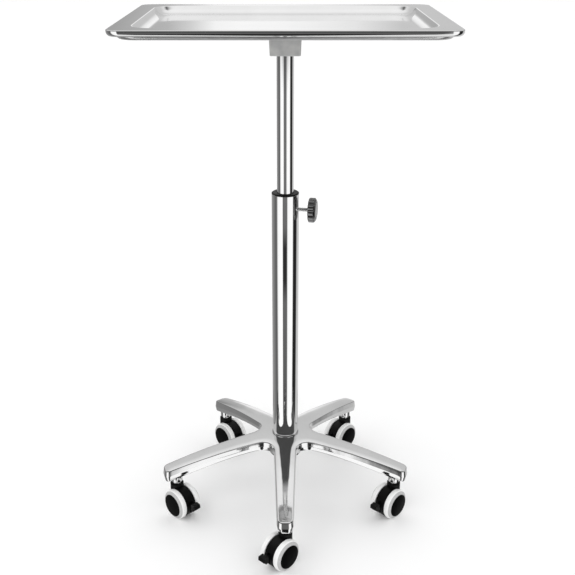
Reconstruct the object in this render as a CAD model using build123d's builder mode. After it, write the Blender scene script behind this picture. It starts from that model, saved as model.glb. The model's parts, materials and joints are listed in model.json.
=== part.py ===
from build123d import *
import os
from math import cos, hypot, radians, sin

# Instrument cart: a shallow stainless tray on a telescopic column with a
# five-legged castered base.  Millimetres, +Z up, origin on the floor under
# the column, front towards -Y.

# ---- tray -----------------------------------------------------------------
TRAY_W = 455.0          # overall width, X
TRAY_D = 345.0          # overall depth, Y
TRAY_CORNER_R = 18.0
RIM_Z = 800.0           # top of the rim above the floor
SHEET = 1.0
LIP_H = 8.5             # height of the turned-down edge
RIM_EDGE_R = 1.2        # outer bend between rim and lip
LIP_CURL_R = 6.0        # radius of the lip where it curls in underneath
FLANGE_W = 26.5         # flat rim between lip and basin
BASIN_DEPTH = 11.5
BASIN_CORNER_R = 34.0
WALL_RUN = 8.0          # how far the basin wall leans in on its way down
FLOOR_BEND_R = 16.0
FLANGE_BEND_R = 1.5

# ---- tray carrier ---------------------------------------------------------
RING_ROD = 12.7
RING_INSET = 15.5       # rod centreline to the tray edge
RING_BEND_R = 22.0
BAR_W = 24.0
BAR_T = 4.0
BAR_Y = 36.0
SADDLE = 0.4            # depth the ring sits into the bars
PLATE_W = 84.0
PLATE_D = 98.0
PLATE_T = 4.0
BLOCK_TOP_W = 47.0
BLOCK_BOTTOM_W = 44.6
BLOCK_D = 44.0
BLOCK_BOTTOM_Z = 746.5
SCREW_X = 14.0
SCREW_Y = 17.0
SCREW_D = 5.0
SCREW_HEAD_D = 9.6
SCREW_L = 16.0
SET_SCREW_Z = 763.0

# ---- column ---------------------------------------------------------------
ROD_D = 25.4
ROD_WALL = 2.0
ROD_BOTTOM_Z = 310.0
ROD_TOP_Z = 777.0
ROD_BEAD_D = 28.6
TUBE_D = 42.0
TUBE_WALL = 1.5
TUBE_TOP_Z = 538.5
TUBE_BOTTOM_Z = 88.0
TUBE_PLUG_T = 12.0
BUSH_LIP_H = 2.0
BUSH_SKIRT_Z = 494.0
RUN_FIT = 0.05          # radial clearance of sliding and turning fits
GUIDE_H = 28.0
CAP_FLANGE_T = 4.0

# ---- clamping knob --------------------------------------------------------
KNOB_Z = 514.0
KNOB_AZ = -11.0         # direction of the knob, degrees from +X
STUD_D = 6.0
STUD_TIP = 13.0         # distances from the column axis
STUD_END = 44.0
KNOB_INNER = 37.2
KNOB_OUTER = 48.4
KNOB_LOBES = 12
KNOB_LOBE_R = 4.5
KNOB_LOBE_PCR = 14.8
KNOB_BEVEL = 3.4
KNOB_FACE_R = 15.2
KNOB_CAP_R = 13.0
KNOB_RECESS = 1.2
NUT_AF = 10.0
NUT_INNER = 14.0
NUT_OUTER = 18.6

# ---- five-leg base --------------------------------------------------------
LEGS = 5
FIRST_LEG = -90.0
HUB_TOP_Z = 120.0
LEG_END_R = 211.0
LEG_ROOT_W = 41.5       # width extrapolated to the column axis
LEG_END_W = 25.4
LEG_TIP_R = 9.0
CROTCH_R = 21.0
LEG_EDGE_R = 1.8
UNDER_0 = 100.1         # height of the legs' lower edge, as a cubic in the
UNDER_1 = 0.114         # distance from the column
UNDER_2 = -0.00219
UNDER_3 = 4.1e-6
SHELL_T = 3.0
BARREL_D = 54.0
BARREL_BOTTOM_Z = 82.0
STEM_PCR = 190.0
BOSS_D = 19.0
BOSS_BOTTOM_Z = 60.0
BOLT_D = 10.0
BOLT_HEAD_AF = 16.0
BOLT_HEAD_H = 6.4
WASHER_D = 22.0
WASHER_T = 2.0

# ---- casters --------------------------------------------------------------
WHEEL_D = 50.8
WHEEL_Z = WHEEL_D / 2
TRAIL = 12.5            # wheel axle behind the stem axis
TRAIL_AZ = (-133.8, -133.8, -133.8, -46.2, -46.2)
HOOD_HALF_W = 7.8
HOOD_R = 25.0
HOOD_BOTTOM_Z = 8.0
BLOCK_D_CASTER = 22.0
BLOCK_TOP_Z = 57.0
WELL_R = 26.4
STEM_D = 11.0
STEM_TOP_Z = 84.0
PIVOT_D = 8.0
PIVOT_BOTTOM_Z = 37.0
COLLAR_D = 16.0
AXLE_D = 6.0
AXLE_HALF = 18.6
WHEEL_IN = 8.6
WHEEL_FACE = 21.2
WHEEL_BORE_R = AXLE_D / 2 + RUN_FIT
RIM_R = 19.0            # seat of the tyre on the wheel
TYRE_SHOULDER_R = 23.4  # outer end of the bevel on the tyre
LEVER_HALF_W = 2.5
LEVER_PIVOT = 14.0      # lever pin behind the axle
LEVER_PIN_D = 3.0
PAD_HALF_W = 6.0

# ---- derived --------------------------------------------------------------
RING_Z = RIM_Z - SHEET - RING_ROD / 2
RING_W = TRAY_W - 2 * RING_INSET
RING_D = TRAY_D - 2 * RING_INSET
FLOOR_Z = RIM_Z - BASIN_DEPTH
BAR_TOP_Z = RING_Z - RING_ROD / 2 + SADDLE
PLATE_TOP_Z = BAR_TOP_Z - BAR_T
BLOCK_TOP_PLATE_Z = PLATE_TOP_Z - PLATE_T
TUBE_BORE_R = TUBE_D / 2 - TUBE_WALL
ROD_BORE_R = ROD_D / 2 - ROD_WALL
GUIDE_BOTTOM_Z = ROD_BOTTOM_Z + CAP_FLANGE_T + 0.4
GUIDE_TOP_Z = GUIDE_BOTTOM_Z + GUIDE_H
KNOB_DIR = Vector(cos(radians(KNOB_AZ)), sin(radians(KNOB_AZ)), 0)
LEG_ANGLES = [FIRST_LEG + i * 360 / LEGS for i in range(LEGS)]


def save(piece, name):
    """Label one piece and write it to its own STEP file."""
    piece.part.label = name
    export_step(piece.part, f"parts/{name}.step")


def radial_plane(distance):
    """Plane across the knob axis, looking outwards from the column."""
    origin = KNOB_DIR * distance + Vector(0, 0, KNOB_Z)
    return Plane(origin=origin, x_dir=(0, 0, 1), z_dir=KNOB_DIR)


# ---- tray and its carrier -------------------------------------------------
def basin_form(grow, bend):
    """Solid form of the basin, grown sideways and downwards by the sheet."""
    top_w = TRAY_W - 2 * FLANGE_W + 2 * grow
    top_d = TRAY_D - 2 * FLANGE_W + 2 * grow
    with BuildPart() as form:
        with BuildSketch(Plane.XY.offset(FLOOR_Z - grow)):
            RectangleRounded(top_w - 2 * WALL_RUN, top_d - 2 * WALL_RUN,
                             BASIN_CORNER_R - WALL_RUN + grow)
        with BuildSketch(Plane.XY.offset(RIM_Z)):
            RectangleRounded(top_w, top_d, BASIN_CORNER_R + grow)
        loft()
        fillet(form.edges().group_by(Axis.Z)[0], bend)
    return form.part


def lip_cavity():
    """Space under the rim, one sheet inside the curled lip."""
    with BuildPart() as cavity:
        with BuildSketch(Plane.XY.offset(RIM_Z - LIP_H + SHEET)):
            RectangleRounded(TRAY_W - 2 * SHEET, TRAY_D - 2 * SHEET, TRAY_CORNER_R - SHEET)
        extrude(amount=LIP_H - 2 * SHEET)
        fillet(cavity.edges().group_by(Axis.Z)[0], LIP_CURL_R - SHEET)
    return cavity.part


def make_tray():
    with BuildPart() as tray:
        with BuildSketch(Plane.XY.offset(RIM_Z - LIP_H)):
            RectangleRounded(TRAY_W, TRAY_D, TRAY_CORNER_R)
        extrude(amount=LIP_H)
        fillet(tray.edges().group_by(Axis.Z)[0], LIP_CURL_R)
        fillet(tray.edges().group_by(Axis.Z)[-1], RIM_EDGE_R)
        add(lip_cavity(), mode=Mode.SUBTRACT)
        with BuildSketch(Plane.XY.offset(RIM_Z - LIP_H)):
            RectangleRounded(TRAY_W - 2 * LIP_CURL_R - 1, TRAY_D - 2 * LIP_CURL_R - 1,
                             TRAY_CORNER_R - LIP_CURL_R)
        extrude(amount=2 * SHEET, mode=Mode.SUBTRACT)
        add(basin_form(SHEET, FLOOR_BEND_R + SHEET))
        add(basin_form(0, FLOOR_BEND_R), mode=Mode.SUBTRACT)
        rim_face = tray.faces().filter_by(Axis.Z).sort_by(Axis.Z)[-1]
        fillet(rim_face.inner_wires()[0].edges(), FLANGE_BEND_R)
    save(tray, "tray")


def make_tray_frame():
    x = RING_W / 2
    y = RING_D / 2
    with BuildPart() as tray_frame:
        with BuildLine(Plane.XY.offset(RING_Z)) as path:
            FilletPolyline((x, y), (x, -y), (-x, -y), (-x, y), radius=RING_BEND_R, close=True)
        with BuildSketch(Plane(origin=path.line @ 0, z_dir=path.line % 0)):
            Circle(RING_ROD / 2)
        sweep()
    save(tray_frame, "tray_frame")


def make_frame_bar(side, name):
    length = RING_W + 8
    with BuildPart() as frame_bar:
        with BuildSketch(Plane.XY.offset(PLATE_TOP_Z)):
            with Locations((0, side * BAR_Y)):
                RectangleRounded(length, BAR_W, 3)
        extrude(amount=BAR_T)
        with BuildSketch(Plane.XZ.offset(-side * BAR_Y - BAR_W)):
            with Locations((RING_W / 2, RING_Z), (-RING_W / 2, RING_Z)):
                Circle(RING_ROD / 2)
        extrude(amount=2 * BAR_W, mode=Mode.SUBTRACT)
    save(frame_bar, name)


def make_socket_plate():
    with BuildPart() as socket_plate:
        with BuildSketch(Plane.XY.offset(BLOCK_TOP_PLATE_Z)):
            RectangleRounded(PLATE_W, PLATE_D, 6)
        extrude(amount=PLATE_T)
        with Locations(Plane.XY.offset(PLATE_TOP_Z)):
            with GridLocations(2 * SCREW_X, 2 * SCREW_Y, 2, 2):
                CounterSinkHole(SCREW_D / 2 + 0.1, SCREW_HEAD_D / 2 + 0.1)
    save(socket_plate, "socket_plate")


def make_socket_block():
    with BuildPart() as socket_block:
        with BuildSketch(Plane.XY.offset(BLOCK_BOTTOM_Z)):
            RectangleRounded(BLOCK_BOTTOM_W, BLOCK_D - 2, 3)
        with BuildSketch(Plane.XY.offset(BLOCK_TOP_PLATE_Z)):
            RectangleRounded(BLOCK_TOP_W, BLOCK_D, 3)
        loft()
        chamfer(socket_block.edges().group_by(Axis.Z)[0], 0.8)
        with Locations(Location((0, 0, BLOCK_BOTTOM_Z), (180, 0, 0))):
            Hole(ROD_D / 2 + RUN_FIT, depth=ROD_TOP_Z + 0.5 - BLOCK_BOTTOM_Z)
        with BuildSketch(Plane.XZ.offset(-BLOCK_D)):
            with Locations((0, SET_SCREW_Z)):
                Circle(STUD_D / 2)
        extrude(amount=BLOCK_D - ROD_D / 2 + 1, mode=Mode.SUBTRACT)
        with Locations(Plane.XY.offset(BLOCK_TOP_PLATE_Z)):
            with GridLocations(2 * SCREW_X, 2 * SCREW_Y, 2, 2):
                Hole(SCREW_D / 2, depth=SCREW_L - PLATE_T + 1)
    save(socket_block, "socket_block")


def make_socket_set_screw():
    with BuildPart() as socket_set_screw:
        with BuildSketch(Plane.XZ.offset(-ROD_D / 2)):
            with Locations((0, SET_SCREW_Z)):
                Circle(STUD_D / 2)
        extrude(amount=-8)
        with BuildSketch(Plane.XZ.offset(-ROD_D / 2 - 8)):
            with Locations((0, SET_SCREW_Z)):
                RegularPolygon(1.7, 6)
        extrude(amount=3, mode=Mode.SUBTRACT)
    save(socket_set_screw, "socket_set_screw")


def make_plate_screws():
    with BuildPart() as plate_screws:
        with Locations(Plane.XY.offset(PLATE_TOP_Z)):
            with GridLocations(2 * SCREW_X, 2 * SCREW_Y, 2, 2):
                Cylinder(SCREW_D / 2, SCREW_L, align=(Align.CENTER, Align.CENTER, Align.MAX))
                Cone(SCREW_D / 2, SCREW_HEAD_D / 2, (SCREW_HEAD_D - SCREW_D) / 2,
                     align=(Align.CENTER, Align.CENTER, Align.MAX))
        with BuildSketch(Plane.XY.offset(PLATE_TOP_Z)):
            with GridLocations(2 * SCREW_X, 2 * SCREW_Y, 2, 2):
                RegularPolygon(1.7, 6)
        extrude(amount=-1.8, mode=Mode.SUBTRACT)
    save(plate_screws, "plate_screws")


# ---- telescopic column ----------------------------------------------------
def make_rod():
    z0 = ROD_BOTTOM_Z + CAP_FLANGE_T
    bead_z = GUIDE_TOP_Z + 0.4
    with BuildPart() as rod:
        with BuildSketch(Plane.XY.offset(z0)):
            Circle(ROD_D / 2)
            Circle(ROD_BORE_R, mode=Mode.SUBTRACT)
        extrude(amount=ROD_TOP_Z - z0)
        with BuildSketch(Plane.XY.offset(bead_z)):
            Circle(ROD_BEAD_D / 2)
            Circle(ROD_D / 2 - ROD_WALL / 2, mode=Mode.SUBTRACT)
        extrude(amount=3)
        fillet(rod.edges().filter_by(GeomType.CIRCLE)
               .filter_by(lambda e: abs(e.radius - ROD_BEAD_D / 2) < 0.01), 1.0)
    save(rod, "rod")


def make_rod_end_cap():
    with BuildPart() as rod_end_cap:
        with BuildSketch(Plane.XY.offset(ROD_BOTTOM_Z)):
            Circle(16.5)
        extrude(amount=CAP_FLANGE_T)
        chamfer(rod_end_cap.edges().group_by(Axis.Z)[0], 1.0)
        with BuildSketch(Plane.XY.offset(ROD_BOTTOM_Z + CAP_FLANGE_T)):
            Circle(ROD_BORE_R)
        extrude(amount=14)
        chamfer(rod_end_cap.edges().group_by(Axis.Z)[-1], 1.0)
    save(rod_end_cap, "rod_end_cap")


def make_rod_guide_bush():
    with BuildPart() as rod_guide_bush:
        with BuildSketch(Plane.XY.offset(GUIDE_BOTTOM_Z)):
            Circle(TUBE_BORE_R - RUN_FIT)
            Circle(ROD_D / 2 + RUN_FIT, mode=Mode.SUBTRACT)
        extrude(amount=GUIDE_H)
        chamfer(rod_guide_bush.edges().filter_by(GeomType.CIRCLE)
                .filter_by(lambda e: e.radius > ROD_D / 2 + 1), 0.8)
    save(rod_guide_bush, "rod_guide_bush")


def make_column_tube():
    with BuildPart() as column_tube:
        with BuildSketch(Plane.XY.offset(TUBE_BOTTOM_Z)):
            Circle(TUBE_D / 2)
            Circle(TUBE_BORE_R, mode=Mode.SUBTRACT)
        extrude(amount=TUBE_TOP_Z - TUBE_BOTTOM_Z)
        with BuildSketch(Plane.XY.offset(TUBE_BOTTOM_Z)):
            Circle(TUBE_BORE_R + 0.2)
            Circle(BOLT_D / 2, mode=Mode.SUBTRACT)
        extrude(amount=TUBE_PLUG_T)
        with BuildSketch(radial_plane(TUBE_BORE_R - 2)):
            Circle(STUD_D / 2 + 0.4)
        extrude(amount=6, mode=Mode.SUBTRACT)
    save(column_tube, "column_tube")


def make_column_bush():
    top_z = TUBE_TOP_Z + BUSH_LIP_H
    bore = ROD_D / 2 + RUN_FIT
    with BuildPart() as column_bush:
        with BuildSketch(Plane.XZ):
            with BuildLine():
                Polyline((bore, BUSH_SKIRT_Z), (TUBE_BORE_R, BUSH_SKIRT_Z),
                         (TUBE_BORE_R, TUBE_TOP_Z), (TUBE_D / 2, TUBE_TOP_Z),
                         (TUBE_D / 2, TUBE_TOP_Z + 0.4))
                ThreePointArc((TUBE_D / 2, TUBE_TOP_Z + 0.4),
                              (TUBE_D / 2 - 0.6, top_z - 0.5),
                              (TUBE_D / 2 - 2.4, top_z))
                Polyline((TUBE_D / 2 - 2.4, top_z), (bore + 0.8, top_z),
                         (bore, top_z - 0.8), (bore, BUSH_SKIRT_Z))
            make_face()
        revolve(axis=Axis.Z)
        with BuildSketch(radial_plane(ROD_D / 2 - 1)):
            Circle(STUD_D / 2 + 0.2)
        extrude(amount=TUBE_D / 2, mode=Mode.SUBTRACT)
        with BuildSketch(radial_plane(NUT_INNER)):
            RegularPolygon(NUT_AF / 2 + 0.05, 6, major_radius=False)
        extrude(amount=TUBE_D / 2 - NUT_INNER, mode=Mode.SUBTRACT)
    save(column_bush, "column_bush")


def make_lock_nut():
    with BuildPart() as lock_nut:
        with BuildSketch(radial_plane(NUT_INNER)):
            RegularPolygon(NUT_AF / 2, 6, major_radius=False)
            Circle(STUD_D / 2 + RUN_FIT, mode=Mode.SUBTRACT)
        extrude(amount=NUT_OUTER - NUT_INNER)
    save(lock_nut, "lock_nut")


def make_column_bolt():
    head_top = BARREL_BOTTOM_Z - WASHER_T
    with BuildPart() as column_bolt:
        with BuildSketch(Plane.XY.offset(head_top - BOLT_HEAD_H)):
            RegularPolygon(BOLT_HEAD_AF / 2, 6, major_radius=False)
        extrude(amount=BOLT_HEAD_H)
        with BuildSketch(Plane.XY.offset(head_top)):
            Circle(BOLT_D / 2)
        extrude(amount=TUBE_BOTTOM_Z + TUBE_PLUG_T - head_top)
        chamfer(column_bolt.edges().group_by(Axis.Z)[-1], 1.0)
    save(column_bolt, "column_bolt")


def make_column_washer():
    with BuildPart() as column_washer:
        with BuildSketch(Plane.XY.offset(BARREL_BOTTOM_Z - WASHER_T)):
            Circle(WASHER_D / 2)
            Circle(BOLT_D / 2 + 0.25, mode=Mode.SUBTRACT)
        extrude(amount=WASHER_T)
    save(column_washer, "column_washer")


# ---- clamping knob --------------------------------------------------------
def make_lock_stud():
    with BuildPart() as lock_stud:
        with BuildSketch(radial_plane(STUD_TIP)):
            Circle(STUD_D / 2)
        extrude(amount=STUD_END - STUD_TIP)
        chamfer(lock_stud.edges().filter_by(GeomType.CIRCLE)
                .sort_by(Axis((0, 0, 0), KNOB_DIR))[0], 0.8)
    save(lock_stud, "lock_stud")


def knob_section():
    """Plane through the knob axis: x outwards from the column, y up."""
    return Plane(origin=(0, 0, KNOB_Z), x_dir=KNOB_DIR, z_dir=KNOB_DIR.cross(Vector(0, 0, 1)))


def make_lock_knob():
    rim = KNOB_LOBE_PCR + KNOB_LOBE_R + 1
    with BuildPart() as lock_knob:
        with BuildSketch(radial_plane(KNOB_INNER)) as lobes:
            Circle(KNOB_LOBE_PCR)
            with PolarLocations(KNOB_LOBE_PCR, KNOB_LOBES):
                Circle(KNOB_LOBE_R)
            fillet(lobes.vertices(), 0.8)
        extrude(amount=KNOB_OUTER - KNOB_INNER)
        with BuildSketch(knob_section()):
            with BuildLine():
                Polyline((KNOB_INNER, 0), (KNOB_INNER, rim - 2.2), (KNOB_INNER + 2.2, rim),
                         (KNOB_OUTER - KNOB_BEVEL, rim), (KNOB_OUTER, KNOB_FACE_R),
                         (KNOB_OUTER, 0), close=True)
            make_face()
        revolve(axis=Axis((0, 0, KNOB_Z), KNOB_DIR), mode=Mode.INTERSECT)
        with BuildSketch(radial_plane(KNOB_OUTER)):
            Circle(KNOB_CAP_R + 0.3)
        extrude(amount=-KNOB_RECESS, mode=Mode.SUBTRACT)
        with BuildSketch(radial_plane(KNOB_INNER)):
            Circle(STUD_D / 2 + RUN_FIT)
        extrude(amount=STUD_END - KNOB_INNER + 0.5, mode=Mode.SUBTRACT)
    save(lock_knob, "lock_knob")


def make_knob_cap():
    with BuildPart() as knob_cap:
        with BuildSketch(radial_plane(KNOB_OUTER - KNOB_RECESS)):
            Circle(KNOB_CAP_R)
        extrude(amount=KNOB_RECESS + 0.6)
        top = knob_cap.faces().sort_by(Axis((0, 0, 0), KNOB_DIR))[-1]
        chamfer(top.edges(), 0.6)
    save(knob_cap, "knob_cap")


# ---- five-leg base --------------------------------------------------------
def star_outline(inset):
    """Plan of the five legs, drawn smaller by the inset."""
    half_root = LEG_ROOT_W / 2 - inset
    half_end = LEG_END_W / 2 - inset
    end_r = LEG_END_R - inset
    with BuildSketch() as outline:
        with PolarLocations(0, LEGS, start_angle=FIRST_LEG):
            Polygon((0, -half_root), (end_r, -half_end), (end_r, half_end), (0, half_root),
                    align=None)
        by_reach = outline.vertices().sort_by(lambda v: hypot(v.X, v.Y))
        fillet(by_reach[-2 * LEGS:], LEG_TIP_R - inset)
        fillet(outline.vertices().sort_by(lambda v: hypot(v.X, v.Y))[:LEGS], CROTCH_R + inset)
    return outline.sketch


def star_solid(inset, top_drop, floor_z):
    """Star plan extruded and trimmed to the arched leg profile."""
    reach = LEG_END_R + 20
    with BuildPart() as star:
        add(star_outline(inset))
        extrude(amount=HUB_TOP_Z + 10)
        with BuildSketch(Plane.XZ):
            with BuildLine():
                ThreePointArc((24, HUB_TOP_Z - top_drop), (113, 108.3 - top_drop),
                              (reach, 79.5 - top_drop))
                Line((reach, 79.5 - top_drop), (reach, floor_z(reach)))
                Spline((reach, floor_z(reach)), (190, floor_z(190)), (120, floor_z(120)),
                       (24, floor_z(24)))
                Polyline((24, floor_z(24)), (0, floor_z(24)), (0, HUB_TOP_Z - top_drop),
                         (24, HUB_TOP_Z - top_drop))
            make_face()
        revolve(axis=Axis.Z, mode=Mode.INTERSECT)
    return star.part


def leg_under_z(r):
    """Height of the lower edge of a leg at a distance from the column."""
    return UNDER_0 + UNDER_1 * r + UNDER_2 * r ** 2 + UNDER_3 * r ** 3


def make_star_base():
    with BuildPart() as star_base:
        add(star_solid(0, 0, leg_under_z))
        top = star_base.faces().filter_by(GeomType.REVOLUTION).sort_by(Axis.Z)[-1]
        fillet(top.edges().filter_by(is_outline_edge), LEG_EDGE_R)
        add(star_solid(SHELL_T, SHELL_T + 0.5, lambda r: 40.0), mode=Mode.SUBTRACT)
        with BuildSketch(Plane.XY.offset(BARREL_BOTTOM_Z)):
            Circle(BARREL_D / 2)
        extrude(amount=HUB_TOP_Z - 2 - BARREL_BOTTOM_Z)
        with BuildSketch(Plane.XY.offset(BOSS_BOTTOM_Z)):
            with PolarLocations(STEM_PCR, LEGS, start_angle=FIRST_LEG):
                Circle(BOSS_D / 2)
        extrude(amount=STEM_TOP_Z + 2 - BOSS_BOTTOM_Z)
        with BuildSketch(Plane.XY.offset(BOSS_BOTTOM_Z)):
            with PolarLocations(STEM_PCR, LEGS, start_angle=FIRST_LEG):
                Circle(STEM_D / 2)
        extrude(amount=STEM_TOP_Z - BOSS_BOTTOM_Z, mode=Mode.SUBTRACT)
        with BuildSketch(Plane.XY.offset(TUBE_BOTTOM_Z)):
            Circle(TUBE_D / 2)
        extrude(amount=HUB_TOP_Z, mode=Mode.SUBTRACT)
        with BuildSketch(Plane.XY.offset(BARREL_BOTTOM_Z)):
            Circle(BOLT_D / 2 + 0.25)
        extrude(amount=HUB_TOP_Z, mode=Mode.SUBTRACT)
    save(star_base, "star_base")


def is_outline_edge(edge):
    """True for the edges that follow the plan outline of the star."""
    mid = edge @ 0.5
    return hypot(mid.X, mid.Y) > 26 and abs(mid.Y) > 0.1


# ---- casters --------------------------------------------------------------
def caster_frame(i):
    """Plane at floor level under stem i, x pointing along the trail."""
    stem = Vector(STEM_PCR * cos(radians(LEG_ANGLES[i])), STEM_PCR * sin(radians(LEG_ANGLES[i])), 0)
    trail = Vector(cos(radians(TRAIL_AZ[i])), sin(radians(TRAIL_AZ[i])), 0)
    return Plane(origin=stem, x_dir=trail, z_dir=(0, 0, 1))


def side_plane(i, back, s, height):
    """Plane square to the axle of caster i: x forward along the trail, y up."""
    base = caster_frame(i)
    origin = base.origin + base.x_dir * back + base.y_dir * s + Vector(0, 0, height)
    return Plane(origin=origin, x_dir=base.x_dir, z_dir=-base.y_dir)


def axle_plane(i, side):
    """Plane through the axle of caster i: x outwards along the axle, y up."""
    base = caster_frame(i)
    origin = base.origin + base.x_dir * TRAIL + Vector(0, 0, WHEEL_Z)
    out = base.y_dir * side
    return Plane(origin=origin, x_dir=out, z_dir=out.cross(Vector(0, 0, 1)))


def make_stem(i, name):
    base = caster_frame(i)
    with BuildPart() as stem:
        with BuildSketch(base.offset(PIVOT_BOTTOM_Z)):
            Circle(PIVOT_D / 2)
        extrude(amount=BLOCK_TOP_Z - PIVOT_BOTTOM_Z)
        with BuildSketch(base.offset(BLOCK_TOP_Z)):
            Circle(COLLAR_D / 2)
        extrude(amount=BOSS_BOTTOM_Z - BLOCK_TOP_Z)
        with BuildSketch(base.offset(BOSS_BOTTOM_Z)):
            Circle(STEM_D / 2)
        extrude(amount=STEM_TOP_Z - BOSS_BOTTOM_Z)
        chamfer(stem.edges().group_by(Axis.Z)[-1], 1.0)
    save(stem, name)


def make_housing(i, name):
    base = caster_frame(i)
    axle = side_plane(i, TRAIL, HOOD_HALF_W, WHEEL_Z)
    with BuildPart() as housing:
        with BuildSketch(axle):
            Circle(HOOD_R)
            with Locations((0, -HOOD_R + (HOOD_BOTTOM_Z - (WHEEL_Z - HOOD_R)) / 2)):
                Rectangle(2 * HOOD_R, HOOD_BOTTOM_Z - (WHEEL_Z - HOOD_R), mode=Mode.SUBTRACT)
        extrude(amount=2 * HOOD_HALF_W)
        with BuildSketch(base.offset(30)):
            Circle(BLOCK_D_CASTER / 2)
        extrude(amount=BLOCK_TOP_Z - 0.3 - 30)
        with BuildSketch(side_plane(i, TRAIL, HOOD_HALF_W, WHEEL_Z)):
            Circle(WELL_R)
        extrude(amount=-20, mode=Mode.SUBTRACT)
        with BuildSketch(side_plane(i, TRAIL, -HOOD_HALF_W, WHEEL_Z)):
            Circle(WELL_R)
        extrude(amount=20, mode=Mode.SUBTRACT)
        fillet(housing.edges().group_by(Axis.Z)[-1], 1.2)
        with BuildSketch(base.offset(PIVOT_BOTTOM_Z - 0.5)):
            Circle(PIVOT_D / 2 + RUN_FIT)
        extrude(amount=30, mode=Mode.SUBTRACT)
        with BuildSketch(side_plane(i, TRAIL, 20, WHEEL_Z)):
            Circle(AXLE_D / 2)
            with Locations((LEVER_PIVOT, 0)):
                Circle(LEVER_PIN_D / 2 + RUN_FIT)
        extrude(amount=40, mode=Mode.SUBTRACT)
        with BuildSketch(side_plane(i, TRAIL, LEVER_HALF_W + 0.4, WHEEL_Z)):
            with Locations((LEVER_PIVOT + 10, -1)):
                Rectangle(30, 21)
        extrude(amount=2 * LEVER_HALF_W + 0.8, mode=Mode.SUBTRACT)
    save(housing, name)


def make_axle(i, name):
    with BuildPart() as axle:
        with BuildSketch(side_plane(i, TRAIL, AXLE_HALF, WHEEL_Z)):
            Circle(AXLE_D / 2)
        extrude(amount=2 * AXLE_HALF)
        chamfer(axle.edges().filter_by(GeomType.CIRCLE), 0.5)
    save(axle, name)


def make_wheel(i, side, name):
    face = WHEEL_FACE
    plane = axle_plane(i, side)
    with BuildPart() as wheel:
        with BuildSketch(plane):
            with BuildLine():
                Polyline((WHEEL_IN, WHEEL_BORE_R), (AXLE_HALF + 0.5, WHEEL_BORE_R),
                         (AXLE_HALF + 0.5, 0), (face + 1.4, 0))
                ThreePointArc((face + 1.4, 0), (face + 1.15, 9.5), (face + 0.4, RIM_R - 0.4))
                Polyline((face + 0.4, RIM_R - 0.4), (face, RIM_R), (WHEEL_IN + 0.8, RIM_R),
                         (WHEEL_IN + 0.8, RIM_R - 3), (face - 4, RIM_R - 3.6),
                         (face - 4, 7), (WHEEL_IN, 6.4), (WHEEL_IN, WHEEL_BORE_R))
            make_face()
        revolve(axis=Axis(plane.origin, plane.x_dir))
    save(wheel, name)


def make_tyre(i, side, name):
    plane = axle_plane(i, side)
    top = WHEEL_D / 2
    inner = WHEEL_IN + 0.8
    outer = WHEEL_FACE
    with BuildPart() as tyre:
        with BuildSketch(plane):
            with BuildLine():
                Polyline((inner, RIM_R), (outer - 0.1, RIM_R), (outer - 3.0, TYRE_SHOULDER_R))
                ThreePointArc((outer - 3.0, TYRE_SHOULDER_R), (outer - 4.2, top - 0.6),
                              (outer - 6.0, top))
                Polyline((outer - 6.0, top), (inner + 2.2, top), (inner, top - 1.6),
                         (inner, RIM_R))
            make_face()
        revolve(axis=Axis(plane.origin, plane.x_dir))
    save(tyre, name)


def make_brake_lever(i, name):
    centre = side_plane(i, TRAIL, LEVER_HALF_W, WHEEL_Z)
    wide = side_plane(i, TRAIL, PAD_HALF_W, WHEEL_Z)
    pin = side_plane(i, TRAIL, HOOD_HALF_W - 0.6, WHEEL_Z)
    with BuildPart() as lever:
        with BuildSketch(centre):
            with Locations((LEVER_PIVOT, 0)):
                Circle(4.5)
            Polygon((LEVER_PIVOT, -4.5), (33, -1.0), (33, 6.0), (LEVER_PIVOT, 4.5), align=None)
        extrude(amount=2 * LEVER_HALF_W)
        with BuildSketch(wide) as pad:
            Polygon((30, -1.0), (36, -1.8), (36.6, 1.4), (40.5, 3.0), (40.2, 9.6), (31, 10.6),
                    align=None)
            fillet(pad.vertices(), 1.2)
        extrude(amount=2 * PAD_HALF_W)
        with BuildSketch(pin):
            with Locations((LEVER_PIVOT, 0)):
                Circle(LEVER_PIN_D / 2)
        extrude(amount=2 * HOOD_HALF_W - 1.2)
    save(lever, name)


def make_caster(i):
    tag = f"caster_{i + 1}"
    make_stem(i, f"{tag}_stem")
    make_housing(i, f"{tag}_housing")
    make_axle(i, f"{tag}_axle")
    for side, word in ((1, "left"), (-1, "right")):
        make_wheel(i, side, f"{tag}_{word}_wheel")
        make_tyre(i, side, f"{tag}_{word}_tyre")
    make_brake_lever(i, f"{tag}_brake_lever")


os.makedirs("parts", exist_ok=True)
make_tray()
make_tray_frame()
make_frame_bar(-1, "frame_bar_front")
make_frame_bar(1, "frame_bar_back")
make_socket_plate()
make_socket_block()
make_socket_set_screw()
make_plate_screws()
make_rod()
make_rod_end_cap()
make_rod_guide_bush()
make_column_tube()
make_column_bush()
make_lock_nut()
make_column_bolt()
make_column_washer()
make_lock_stud()
make_lock_knob()
make_knob_cap()
make_star_base()
for index in range(LEGS):
    make_caster(index)
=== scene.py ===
import json
from math import acos, atan2, ceil, cos, hypot, pi, radians, sin, sqrt, tan

import bmesh
import bpy
import numpy as np
from mathutils import Matrix, Vector
from mathutils.geometry import delaunay_2d_cdt


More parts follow.
